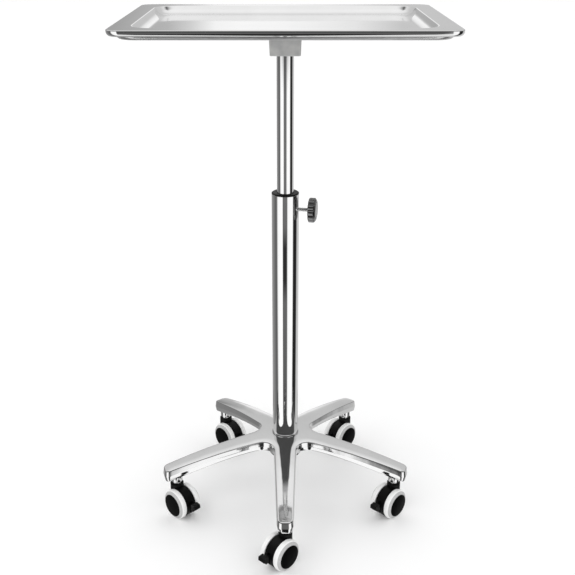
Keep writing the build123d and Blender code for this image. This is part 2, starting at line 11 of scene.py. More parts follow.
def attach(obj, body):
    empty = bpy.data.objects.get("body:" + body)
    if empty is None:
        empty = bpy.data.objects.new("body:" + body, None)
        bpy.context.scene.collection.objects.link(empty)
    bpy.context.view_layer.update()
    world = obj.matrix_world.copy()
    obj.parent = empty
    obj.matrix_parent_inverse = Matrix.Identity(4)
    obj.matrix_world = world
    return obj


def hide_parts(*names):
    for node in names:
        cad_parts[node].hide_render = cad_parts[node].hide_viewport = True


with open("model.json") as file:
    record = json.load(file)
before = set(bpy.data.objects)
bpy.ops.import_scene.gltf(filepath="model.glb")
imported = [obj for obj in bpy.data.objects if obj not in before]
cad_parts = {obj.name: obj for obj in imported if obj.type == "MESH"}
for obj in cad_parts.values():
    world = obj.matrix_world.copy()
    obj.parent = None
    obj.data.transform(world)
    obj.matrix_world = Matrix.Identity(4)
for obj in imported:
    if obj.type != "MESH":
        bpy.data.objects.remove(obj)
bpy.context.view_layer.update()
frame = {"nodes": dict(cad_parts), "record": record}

MM = 0.001

# The model's sizes, in millimetres.
TRAY_W, TRAY_D, RIM_Z = 455.0, 345.0, 800.0
LIP_H, FLANGE_W, WALL_RUN, BASIN_DEPTH, SHEET = 8.5, 26.5, 8.0, 11.5, 1.0
TRAY_CORNER_R, BASIN_CORNER_R = 18.0, 34.0
RING_INSET, RING_R, RING_BEND_R = 15.5, 6.35, 22.0
LIP_CURL_R, FLOOR_BEND_R = 6.0, 16.0
ROD_R, TUBE_R, TUBE_TOP_Z, TUBE_BOTTOM_Z = 12.7, 21.0, 538.5, 88.0
KNOB_AZ, KNOB_Z = -11.0, 514.0
TUBE_BORE_R = 19.5
ROD_BORE_R, ROD_BOTTOM_Z, ROD_TOP_Z = 10.7, 314.0, 777.0
BEAD_R, BEAD_LOW_Z, BEAD_HIGH_Z = 14.3, 343.0, 346.0
BUSH_BORE_R, BUSH_SKIRT_Z, BUSH_TOP_Z = 12.75, 494.0, 540.5
LEGS, FIRST_LEG = 5, -90.0
STEM_PCR, STEM_R, STEM_TOP_Z, BOSS_R = 190.0, 5.5, 84.0, 9.5
WHEEL_IN, WHEEL_FACE, WHEEL_BORE_R, RIM_R, AXLE_END = 8.6, 21.2, 3.05, 19.0, 19.1
TRAIL_AZ = (-133.8, -133.8, -133.8, -46.2, -46.2)
TRAIL, WHEEL_R = 12.5, 25.4

# The camera: place in metres, pitch below the horizon, and its lens.
CAMERA_AT, CAMERA_PITCH, CAMERA_LENS = (0, -1.3550, 0.9411), 22.40, 57.61
CAMERA_SHIFT = 2.2 / 575


# ---------------------------------------------------------------- mesh tools
def make_mesh(name, verts, faces, sharp=35.0):
    """A mesh from millimetre coordinates, smooth except at sharp angles."""
    mesh = bpy.data.meshes.new(name)
    mesh.from_pydata([(x * MM, y * MM, z * MM) for x, y, z in verts], [], faces)
    mesh.validate()
    mesh.polygons.foreach_set("use_smooth", [True] * len(mesh.polygons))
    mesh.set_sharp_from_angle(angle=radians(sharp))
    mesh.update()
    return mesh


def place(name, mesh, mat, body, nodes=(), matrix=None):
    """Puts a mesh into the scene as a piece that rides on a CAD body."""
    obj = bpy.data.objects.new(name, mesh)
    bpy.context.scene.collection.objects.link(obj)
    if not mesh.materials:
        mesh.materials.append(mat)
    if matrix is not None:
        obj.matrix_world = matrix
    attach(obj, body)
    if nodes:
        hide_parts(*nodes)
    return obj


def rounded(points, radii, steps=5, closed=False):
    """A polyline with its corners rounded; radii has one value per point."""
    out = []
    count = len(points)
    for i, (p, r) in enumerate(zip(points, radii)):
        if r <= 0 or (not closed and i in (0, count - 1)):
            out.append(tuple(p))
            continue
        a = Vector(points[i - 1]) - Vector(p)
        b = Vector(points[(i + 1) % count]) - Vector(p)
        a.normalize()
        b.normalize()
        half = acos(max(-1, min(1, a.dot(b)))) / 2
        reach = r / tan(half)
        centre = Vector(p) + (a + b).normalized() * (r / sin(half))
        start = Vector(p) + a * reach - centre
        end = Vector(p) + b * reach - centre
        turn = atan2(start.x * end.y - start.y * end.x, start.dot(end))
        for k in range(steps + 1):
            ang = turn * k / steps
            out.append((centre.x + start.x * cos(ang) - start.y * sin(ang),
                        centre.y + start.x * sin(ang) + start.y * cos(ang)))
    return out


def bridge(loops, closed_section=False, cap_first=False, cap_last=False):
    """Quads between loops of equal length; returns (vertices, faces)."""
    n = len(loops[0])
    verts = [v for loop in loops for v in loop]
    faces = []
    rows = len(loops)
    for i in range(rows if closed_section else rows - 1):
        a, b = i * n, ((i + 1) % rows) * n
        for k in range(n):
            m = (k + 1) % n
            faces.append((a + k, a + m, b + m, b + k))
    if cap_first:
        faces.append(tuple(range(n))[::-1])
    if cap_last:
        faces.append(tuple(range((rows - 1) * n, rows * n)))
    return verts, faces


def revolved(profile, segments=96, closed=False):
    """Turns (radius, height) points round Z; ends on the axis become poles."""
    loops = []
    for r, h in profile:
        r = max(r, 0.0005)
        loops.append([(r * cos(2 * pi * k / segments), r * sin(2 * pi * k / segments), h)
                      for k in range(segments)])
    first = profile[0][0] < 0.01 and not closed
    last = profile[-1][0] < 0.01 and not closed
    verts, faces = bridge(loops, closed_section=closed)
    if first or last:
        verts, faces = weld_poles(verts, faces, segments, len(loops), first, last)
    return verts, faces


def weld_poles(verts, faces, n, rows, first, last):
    """Merges a first or last loop of near-zero radius into one vertex."""
    remap = list(range(len(verts)))
    if first:
        for k in range(n):
            remap[k] = 0
    if last:
        for k in range(n):
            remap[(rows - 1) * n + k] = (rows - 1) * n
    used = sorted(set(remap))
    index = {old: new for new, old in enumerate(used)}
    out = []
    for f in faces:
        g = []
        for v in f:
            w = index[remap[v]]
            if w not in g:
                g.append(w)
        if len(g) > 2:
            out.append(tuple(g))
    return [verts[u] for u in used], out


def combine(*parts):
    """Joins several (vertices, faces) pairs into one."""
    verts, faces = [], []
    for v, f in parts:
        base = len(verts)
        verts += list(v)
        faces += [tuple(i + base for i in face) for face in f]
    return verts, faces


def moved(part, matrix):
    """The same (vertices, faces) with a 4x4 matrix applied."""
    verts, faces = part
    return [tuple(matrix @ Vector(v)) for v in verts], faces


def rect_loop(half_w, half_d, r, z, corner=12, long_side=20, short_side=16):
    """A rounded rectangle at height z, counter-clockwise, fixed vertex count."""
    out = []
    centres = ((half_w - r, half_d - r), (-half_w + r, half_d - r),
               (-half_w + r, -half_d + r), (half_w - r, -half_d + r))
    for q, (cx, cy) in enumerate(centres):
        for k in range(corner + 1):
            a = pi / 2 * (q + k / corner)
            out.append((cx + r * cos(a), cy + r * sin(a), z))
        nx, ny = centres[(q + 1) % 4]
        a = pi / 2 * (q + 1)
        x0, y0 = cx + r * cos(a), cy + r * sin(a)
        x1, y1 = nx + r * cos(a), ny + r * sin(a)
        steps = long_side if q % 2 == 0 else short_side
        for k in range(1, steps):
            t = k / steps
            out.append((x0 + (x1 - x0) * t, y0 + (y1 - y0) * t, z))
    return out


# ----------------------------------------------------------------- materials
class Nodes:
    """Short-hand for building one material's node tree."""

    def __init__(self, name):
        self.mat = bpy.data.materials.new(name)
        self.mat.use_nodes = True
        self.tree = self.mat.node_tree
        self.bsdf = self.tree.nodes["Principled BSDF"]
        self.coord = self.tree.nodes.new("ShaderNodeTexCoord").outputs["Object"]

    def link(self, a, b):
        self.tree.links.new(a, b)

    def mapped(self, scale, rotation=(0, 0, 0)):
        node = self.tree.nodes.new("ShaderNodeMapping")
        node.inputs["Scale"].default_value = scale
        node.inputs["Rotation"].default_value = rotation
        self.link(self.coord, node.inputs["Vector"])
        return node.outputs["Vector"]

    def noise(self, scale, detail=3.0, rough=0.55, distortion=0.0, vector=None):
        node = self.tree.nodes.new("ShaderNodeTexNoise")
        node.inputs["Scale"].default_value = scale
        node.inputs["Detail"].default_value = detail
        node.inputs["Roughness"].default_value = rough
        node.inputs["Distortion"].default_value = distortion
        self.link(vector if vector is not None else self.coord, node.inputs["Vector"])
        return node.outputs["Fac"]

    def remap(self, value, a, b, low, high):
        node = self.tree.nodes.new("ShaderNodeMapRange")
        node.inputs["From Min"].default_value = a
        node.inputs["From Max"].default_value = b
        node.inputs["To Min"].default_value = low
        node.inputs["To Max"].default_value = high
        self.link(value, node.inputs["Value"])
        return node.outputs["Result"]

    def math(self, kind, a, b):
        node = self.tree.nodes.new("ShaderNodeMath")
        node.operation = kind
        for i, v in enumerate((a, b)):
            if isinstance(v, (int, float)):
                node.inputs[i].default_value = v
            else:
                self.link(v, node.inputs[i])
        return node.outputs["Value"]

    def ramp(self, value, stops):
        node = self.tree.nodes.new("ShaderNodeValToRGB")
        elements = node.color_ramp.elements
        while len(elements) < len(stops):
            elements.new(0.5)
        for e, (pos, col) in zip(elements, stops):
            e.position = pos
            e.color = (*col, 1.0)
        self.link(value, node.inputs["Fac"])
        return node.outputs["Color"]

    def bump(self, height, strength, distance, normal=None):
        node = self.tree.nodes.new("ShaderNodeBump")
        node.inputs["Strength"].default_value = strength
        node.inputs["Distance"].default_value = distance
        self.link(height, node.inputs["Height"])
        if normal is not None:
            self.link(normal, node.inputs["Normal"])
        return node.outputs["Normal"]

    def set(self, **values):
        for key, v in values.items():
            socket = self.bsdf.inputs[key.replace("_", " ")]
            if isinstance(v, (int, float, tuple)):
                socket.default_value = v
            else:
                self.link(v, socket)
        return self.mat


def grey(v):
    return (v, v, v)


def metal(name, tone, rough, spread, grain=(1, 1, 1), grain_scale=900.0, grain_depth=0.00002,
          wave_depth=0.0, wave_scale=9.0, tint=(1.0, 1.0, 1.0)):
    """Polished metal: smudged roughness, fine grain and a little waviness."""
    n = Nodes(name)
    smudge = n.noise(14.0, 4.0, 0.6)
    fine = n.noise(grain_scale, 2.0, 0.5, vector=n.mapped(grain))
    mixed = n.math("ADD", n.math("MULTIPLY", smudge, 0.7), n.math("MULTIPLY", fine, 0.3))
    roughness = n.remap(mixed, 0.3, 0.7, rough, rough + spread)
    low = tuple(max(0.0, tone * t - 0.03) for t in tint)
    high = tuple(min(1.0, tone * t + 0.02) for t in tint)
    colour = n.ramp(smudge, ((0.3, low), (0.7, high)))
    normal = n.bump(fine, 0.25, grain_depth)
    if wave_depth:
        normal = n.bump(n.noise(wave_scale, 1.5, 0.4), 1.0, wave_depth, normal)
    return n.set(Base_Color=colour, Metallic=1.0, Roughness=roughness, Normal=normal)


def plastic(name, tone, rough, spread, grain_scale, grain_depth, warm=0.0, shine=0.5):
    """Moulded plastic: eggshell grain with slightly uneven gloss."""
    n = Nodes(name)
    n.bsdf.inputs["Specular IOR Level"].default_value = shine
    broad = n.noise(60.0, 3.0, 0.5)
    grain = n.noise(grain_scale, 2.0, 0.6)
    colour = n.ramp(broad, ((0.3, (tone * 0.85, tone * 0.85, tone * 0.85)),
                            (0.7, (tone * 1.15 + warm, tone * 1.15, tone * 1.12))))
    roughness = n.remap(broad, 0.3, 0.7, rough, rough + spread)
    return n.set(Base_Color=colour, Roughness=roughness, Normal=n.bump(grain, 0.5, grain_depth))


def tyre_rubber():
    """White tread, with painted shade on the bevelled sidewall, which is coloured a darker grey."""
    n = Nodes("white_tyre")
    n.bsdf.inputs["Specular IOR Level"].default_value = 0.3
    split = n.tree.nodes.new("ShaderNodeSeparateXYZ")
    n.link(n.coord, split.inputs[0])
    across = n.math("ABSOLUTE", split.outputs[1], 0.0)
    # Mask of the bevelled sidewall (|y| past about 17.6 mm), where painted shade goes.
    side = n.remap(across, 0.0176, 0.0182, 0.0, 1.0)
    speckle = n.noise(420.0, 3.0, 0.6)
    tread = n.ramp(speckle, ((0.3, grey(0.84)), (0.7, (0.90, 0.90, 0.89))))
    # Painted shade: this grey stands in for the shade on the sideways- and downward-facing bevel.
    wall = n.ramp(speckle, ((0.3, grey(0.44)), (0.7, grey(0.52))))
    mix = n.tree.nodes.new("ShaderNodeMix")
    mix.data_type = "RGBA"
    n.link(side, mix.inputs["Factor"])
    n.link(tread, mix.inputs["A"])
    n.link(wall, mix.inputs["B"])
    grain = n.noise(1900.0, 2.0, 0.6)
    return n.set(Base_Color=mix.outputs["Result"], Roughness=n.remap(speckle, 0.3, 0.7, 0.44, 0.56),
                 Normal=n.bump(grain, 0.5, 0.00004))


TRAY_STEEL = metal("polished_stainless", 0.86, 0.035, 0.03, grain=(1, 40, 40), grain_scale=60.0,
                   grain_depth=0.000006, wave_depth=0.00030, wave_scale=7.0)
RING_STEEL = metal("satin_stainless", 0.62, 0.24, 0.10, grain_scale=1200.0)
CHROME_TUBE = metal("polished_chrome", 0.88, 0.03, 0.03, grain=(60, 60, 1), grain_scale=40.0)
CHROME_CAST = metal("cast_chrome", 0.84, 0.05, 0.05, grain_scale=700.0, wave_depth=0.0006,
                    wave_scale=26.0)
DARK_CHROME = metal("dark_chrome", 0.26, 0.06, 0.06, grain_scale=900.0)
ZINC = metal("bright_zinc", 0.78, 0.14, 0.10, grain_scale=1500.0)
GREY_ALLOY = plastic("satin_grey", 0.46, 0.42, 0.10, 2200.0, 0.00006)
BLACK_NYLON = plastic("black_nylon", 0.0035, 0.36, 0.12, 2600.0, 0.00005, shine=0.16)
BLACK_WHEEL = plastic("black_wheel", 0.002, 0.30, 0.10, 1800.0, 0.00002, shine=0.10)
WHITE_TYRE = tyre_rubber()

SLOT_MATERIAL = {
    "polished_steel": TRAY_STEEL, "frame_steel": RING_STEEL, "grey_alloy": GREY_ALLOY,
    "zinc_steel": ZINC, "chrome": CHROME_TUBE, "cast_chrome": CHROME_CAST,
    "dark_chrome": DARK_CHROME, "black_nylon": BLACK_NYLON, "black_wheel": BLACK_WHEEL,
    "white_tyre": WHITE_TYRE,
}


def repaint_cad():
    """Every CAD node gets the procedural material of its slot."""
    for part in frame["record"]["subparts"]:
        mesh = frame["nodes"][part["node"]].data
        mesh.materials.clear()
        mesh.materials.append(SLOT_MATERIAL[part["material_slot"]])


# ---------------------------------------------------------------------- tray
def tray_corner(inset, z):
    """Corner radius of the tray's plan at an inset from its edge."""
    if z < RIM_Z - 2.0 and inset < 12:
        return TRAY_CORNER_R - inset
    if inset <= FLANGE_W:
        return TRAY_CORNER_R + (BASIN_CORNER_R - TRAY_CORNER_R) * inset / FLANGE_W
    return max(BASIN_CORNER_R - (inset - FLANGE_W), 6.0)


def build_tray():
    floor = RIM_Z - BASIN_DEPTH
    wall = FLANGE_W + WALL_RUN
    curl = LIP_CURL_R + 0.5
    low = RIM_Z - LIP_H
    points = [(150, floor), (110, floor), (75, floor), (50, floor), (wall, floor),
              (FLANGE_W, RIM_Z), (0, RIM_Z), (0, low), (curl, low), (curl, low + SHEET),
              (SHEET, low + SHEET), (SHEET, RIM_Z - SHEET), (FLANGE_W - 0.7, RIM_Z - SHEET),
              (wall - 0.9, floor - SHEET), (50, floor - SHEET), (75, floor - SHEET),
              (110, floor - SHEET), (150, floor - SHEET)]
    radii = [0, 0, 0, 0, FLOOR_BEND_R, 2.2, 1.2, LIP_CURL_R, 0.45, 0.45, 5.0, 0.8, 1.2,
             FLOOR_BEND_R + SHEET, 0, 0, 0, 0]
    loops = []
    for inset, z in rounded(points, radii, steps=7):
        loops.append(rect_loop(TRAY_W / 2 - inset, TRAY_D / 2 - inset, tray_corner(inset, z), z))
    part = bridge(loops, cap_first=True, cap_last=True)
    mesh = make_mesh("tray_sheet", *part, sharp=50)
    place("tray_sheet", mesh, TRAY_STEEL, "tray_body", ("tray",))


def build_carrier_ring():
    half_w, half_d = TRAY_W / 2 - RING_INSET, TRAY_D / 2 - RING_INSET
    z = RIM_Z - SHEET - RING_R
    sides = 28
    loops = []
    for k in range(sides):
        a = 2 * pi * k / sides
        out = RING_R * cos(a)
        loops.append(rect_loop(half_w + out, half_d + out, RING_BEND_R + out, z + RING_R * sin(a),
                               corner=14))
    mesh = make_mesh("carrier_ring", *bridge(loops, closed_section=True))
    place("carrier_ring", mesh, RING_STEEL, "head", ("tray_frame",))


# -------------------------------------------------------------------- column
def build_column():
    outer = rounded([(TUBE_BORE_R, TUBE_BOTTOM_Z), (TUBE_R, TUBE_BOTTOM_Z), (TUBE_R, TUBE_TOP_Z),
                     (TUBE_BORE_R, TUBE_TOP_Z)], [0, 0.4, 0.5, 0], steps=3, closed=True)
    mesh = make_mesh("outer_tube", *revolved(outer, 160, closed=True))
    place("outer_tube", mesh, CHROME_TUBE, "base", ("column_tube",))

    inner = rounded([(ROD_BORE_R, ROD_BOTTOM_Z), (ROD_R, ROD_BOTTOM_Z), (ROD_R, BEAD_LOW_Z),
                     (BEAD_R, BEAD_LOW_Z), (BEAD_R, BEAD_HIGH_Z), (ROD_R, BEAD_HIGH_Z),
                     (ROD_R, ROD_TOP_Z), (ROD_BORE_R, ROD_TOP_Z)],
                    [0, 0.3, 0.2, 1.0, 1.0, 0.2, 0.3, 0], steps=3, closed=True)
    mesh = make_mesh("inner_rod", *revolved(inner, 144, closed=True))
    place("inner_rod", mesh, CHROME_TUBE, "head", ("rod",))

    bush = rounded([(BUSH_BORE_R, BUSH_SKIRT_Z), (TUBE_BORE_R, BUSH_SKIRT_Z), (TUBE_BORE_R, TUBE_TOP_Z),
                    (TUBE_R, TUBE_TOP_Z), (TUBE_R, BUSH_TOP_Z - 0.9), (19.6, BUSH_TOP_Z),
                    (13.6, BUSH_TOP_Z), (BUSH_BORE_R, BUSH_TOP_Z - 0.8)],
                   [0, 0.3, 0, 0.15, 0.5, 0.9, 0.3, 0.3], steps=5, closed=True)
    mesh = make_mesh("top_bush", *revolved(bush, 128, closed=True))
    place("top_bush", mesh, BLACK_NYLON, "base", ("column_bush",))


def knob_matrix():
    """Local Z along the knob axis, outwards; origin on the column axis."""
    a = radians(KNOB_AZ)
    z = Vector((cos(a), sin(a), 0))
    y = Vector((0, 0, 1))
    x = y.cross(z)
    m = Matrix((x, y, z)).transposed().to_4x4()
    m.translation = Vector((0, 0, KNOB_Z * MM))
    return m


LOBES, LOBE_R, LOBE_PCR = 12, 4.5, 14.8
KNOB_BACK, KNOB_FRONT = 37.2, 48.4


def lobed_radius(a):
    """Radius of the scalloped rim at an angle, valleys softened."""
    phi = (a + pi / LOBES) % (2 * pi / LOBES) - pi / LOBES
    r = LOBE_PCR * cos(phi) + sqrt(LOBE_R**2 - (LOBE_PCR * sin(phi)) ** 2)
    return max(r, 16.95)


def build_knob():
    seg = LOBES * 20

    def lobed(h):
        """The scalloped outline at height h, trimmed by the two end bevels."""
        limit = min(18.1 + (h - KNOB_BACK), 20.3 - (h - 45.0) * 1.5)
        out = []
        for k in range(seg):
            a = 2 * pi * k / seg
            r = min(lobed_radius(a), limit)
            out.append((r * cos(a), r * sin(a), h))
        return out

    def ring(r, h):
        return [(r * cos(2 * pi * k / seg), r * sin(2 * pi * k / seg), h) for k in range(seg)]

    loops = [ring(3.05, 37.6), ring(3.3, KNOB_BACK), ring(10, KNOB_BACK), ring(15.8, KNOB_BACK)]
    loops += [lobed(h) for h in (37.2, 37.6, 38.1, 38.6, 39.2, 40.5, 42.5, 44.5, 45.2, 45.6,
                                 46.0, 46.4, 46.9, 47.4, 47.9)]
    loops += [ring(15.6, 48.15), ring(15.0, 48.38), ring(14.2, KNOB_FRONT), ring(13.5, 48.35),
              ring(13.3, 48.0), ring(13.3, 47.2), ring(3.05, 47.2), ring(3.05, 44.5)]
    mesh = make_mesh("clamp_knob", *bridge(loops, closed_section=True), sharp=38)
    m = knob_matrix()
    place("clamp_knob", mesh, DARK_CHROME, "knob", ("lock_knob",), m)

    cap = rounded([(0, 47.25), (12.9, 47.25), (12.9, 48.9), (10.6, 48.75), (0, 49.0)],
                  [0, 0.1, 0.5, 2.5, 0], steps=4)
    mesh = make_mesh("knob_disc", *revolved(cap, 96))
    place("knob_disc", mesh, DARK_CHROME, "knob", ("knob_cap",), m)

    pitch, around = 1.0, 36
    rows = []
    steps = int((44 - 13) / 0.125)
    for j in range(steps + 1):
        h = 13 + j * 0.125
        row = []
        for k in range(around):
            phase = (h / pitch + k / around) % 1.0
            crest = 1 - abs(phase * 2 - 1)
            depth = min(1.0, (h - 13) / 1.0, (44 - h) / 1.0)
            r = 2.45 + 0.53 * min(1.0, crest * 1.25) * max(depth, 0.0)
            a = 2 * pi * k / around
            row.append((r * cos(a), r * sin(a), h))
        rows.append(row)
    mesh = make_mesh("threaded_stud", *bridge(rows, cap_first=True, cap_last=True), sharp=60)
    place("threaded_stud", mesh, ZINC, "stud", ("lock_stud",), m)


# ----------------------------------------------------------------- star base
LEG_ROOT_HALF, LEG_END_HALF, LEG_END_R = 20.75, 12.7, 211.0
CROTCH_R, TIP_R = 21.0, 9.0


def leg_top_z(r):
    """Height of the crest of a leg: a circle through three points."""
    (x1, y1), (x2, y2), (x3, y3) = (24.0, 120.0), (113.0, 108.3), (231.0, 79.5)
    d = 2 * (x1 * (y2 - y3) + x2 * (y3 - y1) + x3 * (y1 - y2))
    cx = ((x1**2 + y1**2) * (y2 - y3) + (x2**2 + y2**2) * (y3 - y1)
          + (x3**2 + y3**2) * (y1 - y2)) / d
    cy = ((x1**2 + y1**2) * (x3 - x2) + (x2**2 + y2**2) * (x1 - x3)
          + (x3**2 + y3**2) * (x2 - x1)) / d
    radius = hypot(x1 - cx, y1 - cy)
    return cy + sqrt(radius**2 - (max(r, 24.0) - cx) ** 2)


def leg_under_z(r):
    """Height of a leg's lower edge, a cubic in the distance from the column."""
    return 100.1 + 0.114 * r - 0.00219 * r**2 + 4.1e-6 * r**3


def star_loop(inset):
    """Plan outline of the five legs, moved inwards by the inset."""
    half_0, half_1 = LEG_ROOT_HALF - inset, LEG_END_HALF - inset
    end = LEG_END_R - inset
    slope = (LEG_END_HALF - LEG_ROOT_HALF) / LEG_END_R
    corner = half_0 / (sin(radians(36)) - slope * cos(radians(36)))
    points, radii = [], []
    for i in range(LEGS):
        a = radians(FIRST_LEG + 72 * i)
        ux, uy = cos(a), sin(a)
        b = a - radians(36)
        points.append((corner * cos(b), corner * sin(b)))
        radii.append(CROTCH_R + inset)
        for s in (-1, 1):
            half = half_0 + slope * end
            points.append((end * ux - s * half * uy, end * uy + s * half * ux))
            radii.append(max(TIP_R - inset, 0.5))
    return rounded(points, radii, steps=12, closed=True)


def split_long(points, longest):
    """How many equal steps each run of a closed outline is cut into."""
    counts = []
    for i, p in enumerate(points):
        q = points[(i + 1) % len(points)]
        counts.append(max(1, ceil(hypot(q[0] - p[0], q[1] - p[1]) / longest)))
    return counts


def resampled(points, counts):
    """A closed outline with its runs cut into the given numbers of steps."""
    out = []
    for i, p in enumerate(points):
        q = points[(i + 1) % len(points)]
        for k in range(counts[i]):
            t = k / counts[i]
            out.append((p[0] + (q[0] - p[0]) * t, p[1] + (q[1] - p[1]) * t))
    return out


def edge_distance(points, outline):
    """Distance from each point to a closed outline."""
    p = np.array(points)[:, None, :]
    a = np.array(outline)[None, :, :]
    b = np.roll(np.array(outline), -1, axis=0)[None, :, :]
    ab = b - a
    t = np.clip(((p - a) * ab).sum(-1) / (ab * ab).sum(-1), 0, 1)
    return np.sqrt((((a + ab * t[..., None]) - p) ** 2).sum(-1)).min(1)


def filled(boundary, holes, spacing):
    """Triangles inside a boundary and outside round holes."""
    margin = spacing * 0.55
    xs = np.array(boundary)
    pts, edges = [], []

    def add_loop(loop):
        base = len(pts)
        pts.extend(loop)
        edges.extend((base + k, base + (k + 1) % len(loop)) for k in range(len(loop)))

    add_loop(boundary)
    for radius in holes:
        count = max(48, int(2 * pi * radius / spacing))
        add_loop([(radius * cos(2 * pi * k / count), radius * sin(2 * pi * k / count))
                  for k in range(count)])
    lo, hi = xs.min(0), xs.max(0)
    grid = []
    row = 0
    y = lo[1]
    while y < hi[1]:
        x = lo[0] + (spacing / 2 if row % 2 else 0)
        while x < hi[0]:
            grid.append((x, y))
            x += spacing
        y += spacing * 0.866
        row += 1
    grid = np.array(grid)
    keep = inside(grid, boundary) & (edge_distance(grid, boundary) > margin)
    r = np.hypot(grid[:, 0], grid[:, 1])
    for radius in holes:
        keep &= np.abs(r - radius) > margin
    keep &= r > holes[0]
    pts.extend(map(tuple, grid[keep]))
    verts, _, tris, *_ = delaunay_2d_cdt([Vector(p) for p in pts], edges, [], 0, 1e-6)
    verts = np.array([tuple(v) for v in verts])
    centres = np.array([verts[list(t)].mean(0) for t in tris])
    ok = inside(centres, boundary) & (np.hypot(centres[:, 0], centres[:, 1]) > holes[0] - 0.01)
    return verts, [tuple(t) for t, k in zip(tris, ok) if k]


def inside(points, outline):
    """Even-odd test of each point against a closed outline."""
    p = np.asarray(points)
    a = np.array(outline)
    b = np.roll(a, -1, axis=0)
    hit = np.zeros(len(p), bool)
    for (x0, y0), (x1, y1) in zip(a, b):
        if y0 == y1:
            continue
        cross = ((y0 > p[:, 1]) != (y1 > p[:, 1]))
        x = x0 + (p[:, 1] - y0) * (x1 - x0) / (y1 - y0)
        hit ^= cross & (p[:, 0] < x)
    return hit


EDGE_START, CROWN, CROWN_W = 4.0, 1.3, 12.0
LEG_SHEET, EDGE_DROP = 3.6, 1.6


def crown_drop(d):
    """How far the top falls below the crest at a distance from the edge."""
    return CROWN * (1 - min(d / CROWN_W, 1.0)) ** 2


def build_star_base():
    outline = star_loop(0)
    counts = split_long(outline, 4.0)
    side = []                       # (inset, drop from the crest, share of the wall)
    for k in range(5):
        a = pi / 2 * k / 4
        side.append((1.0 + EDGE_DROP * (1 - sin(a)), EDGE_DROP * (1 - cos(a)), 0.0))
    side += [(inset, EDGE_DROP, share) for inset, share in
             ((0.55, 0.22), (0.15, 0.40), (0.0, 0.47), (0.25, 0.54), (0.9, 0.76),
              (1.5, 0.96), (1.9, 1.0), (3.2, 1.0))]

    def ring(inset, drop, share):
        loop = resampled(star_loop(inset), counts)
        out = []
        for x, y in loop:
            r = hypot(x, y)
            top = leg_top_z(r) - crown_drop(inset) - drop
            z = top + (leg_under_z(r) - top) * share
            out.append((x, y, z))
        return out

    loops = [ring(EDGE_START, 0, 0), ring(3.2, 0, 0)]
    loops += [ring(*s) for s in side]
    loops += [ring(3.4, LEG_SHEET, 0.0), ring(EDGE_START, LEG_SHEET, 0.0)]
    wall = bridge(loops)

    inner = resampled(star_loop(EDGE_START), counts)
    groove = (21.25, 21.5, 22.3, 22.7)
    flat, tris = filled(inner, groove, 2.6)
    depth = edge_distance(flat, outline)
    top, under = [], []
    for (x, y), d in zip(flat, depth):
        r = hypot(x, y)
        z = leg_top_z(r) - crown_drop(d)
        under.append((x, y, z - LEG_SHEET))
        if r < 21.4:
            z -= 1.6
        elif r < 22.0:
            z -= 1.5
        elif r < 22.5:
            z -= 0.25
        top.append((x, y, z))
    sole = (under, [t[::-1] for t in tris])
    barrel = revolved(rounded([(21.3, 84), (27, 84), (27, 117), (21.3, 117)],
                              [0.5, 1.5, 0, 0], steps=3, closed=True), 64, closed=True)
    floor_disc = revolved([(5.3, 82), (27, 82), (27, 88), (5.3, 88)], 64, closed=True)
    bosses = []
    for i in range(LEGS):
        a = radians(FIRST_LEG + 72 * i)
        m = Matrix.Translation((STEM_PCR * cos(a), STEM_PCR * sin(a), 0))
        boss = revolved(rounded([(STEM_R, 60), (BOSS_R, 60), (BOSS_R, 87), (STEM_R, 87)],
                                [0.4, 0.8, 0, 0], steps=3, closed=True), 48, closed=True)
        bosses.append(moved(boss, m))
    part = combine(wall, (top, tris), sole, barrel, floor_disc, *bosses)
    mesh = make_mesh("star_casting", *part, sharp=40)
    weld(mesh)
    place("star_casting", mesh, CHROME_CAST, "base", ("star_base",))


def weld(mesh):
    """Merges coincident vertices and makes the normals agree."""
    bm = bmesh.new()
    bm.from_mesh(mesh)
    bmesh.ops.remove_doubles(bm, verts=bm.verts, dist=0.00002)
    bmesh.ops.recalc_face_normals(bm, faces=bm.faces)
    bm.to_mesh(mesh)
    bm.free()
    mesh.polygons.foreach_set("use_smooth", [True] * len(mesh.polygons))
    mesh.set_sharp_from_angle(angle=radians(40))


# ------------------------------------------------------------------- casters
def caster_matrix(i):
    """Caster i's own axes: x along the trail, origin on the floor below the stem."""
    a = radians(FIRST_LEG + 72 * i)
    place_at = Matrix.Translation((STEM_PCR * MM * cos(a), STEM_PCR * MM * sin(a), 0))
    return place_at @ Matrix.Rotation(radians(TRAIL_AZ[i]), 4, "Z")


def axle_matrix(side):
    """Turns a Z revolve into one round the axle, outwards on the given side."""
    turn = Matrix.Rotation(-radians(90) * side, 4, "X")
    return Matrix.Translation((TRAIL, 0, WHEEL_R)) @ turn


